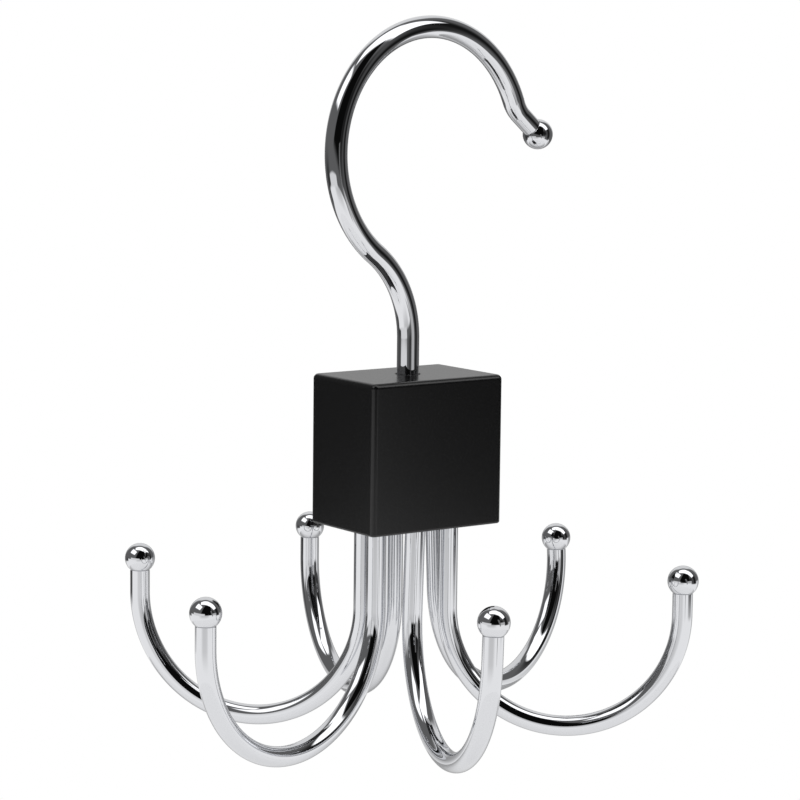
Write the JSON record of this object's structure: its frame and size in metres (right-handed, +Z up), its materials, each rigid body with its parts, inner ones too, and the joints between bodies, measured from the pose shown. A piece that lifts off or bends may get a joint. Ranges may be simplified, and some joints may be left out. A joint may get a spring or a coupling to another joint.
{
  "type": "bag hanger",
  "caption": "Closet-rail bag hanger: a chromed hook that swivels in a satin black block, with chromed J arms below, each ending in a ball.",
  "frame": {"origin": "underside of the hook's crown, on the swivel axis, where the hanger rests on its rail", "axes": "+Z up along the swivel axis, +X along the block's length toward the hook's tip, +Y across the block"},
  "size_m": [0.146, 0.1428, 0.1827],
  "materials": {
    "chrome": "polished chrome plate on steel",
    "black_paint": "satin black paint on die-cast metal",
    "zinc_steel": "zinc plate",
    "nylon": "natural moulded nylon",
    "black_plastic": "moulded"
  },
  "bodies": {
    "hook": {"top_hook": "chrome", "hook_ball": "chrome", "nut_washer": "zinc_steel", "swivel_nut": "zinc_steel"},
    "carrier": {"block": "black_paint", "swivel_bush": "nylon", "bottom_plug": "black_plastic", "arm_1": "chrome", "arm_2": "chrome", "arm_3": "chrome", "arm_4": "chrome", "arm_5": "chrome", "arm_6": "chrome", "arm_ball_1": "chrome", "arm_ball_2": "chrome", "arm_ball_3": "chrome", "arm_ball_4": "chrome", "arm_ball_5": "chrome", "arm_ball_6": "chrome"}
  },
  "joints": [
    {"name": "swivel", "type": "hinge", "parent": "hook", "child": "carrier", "pos_m": [0, 0, -0.1021], "axis": [0, 0, 1], "continuous": true}
  ]
}
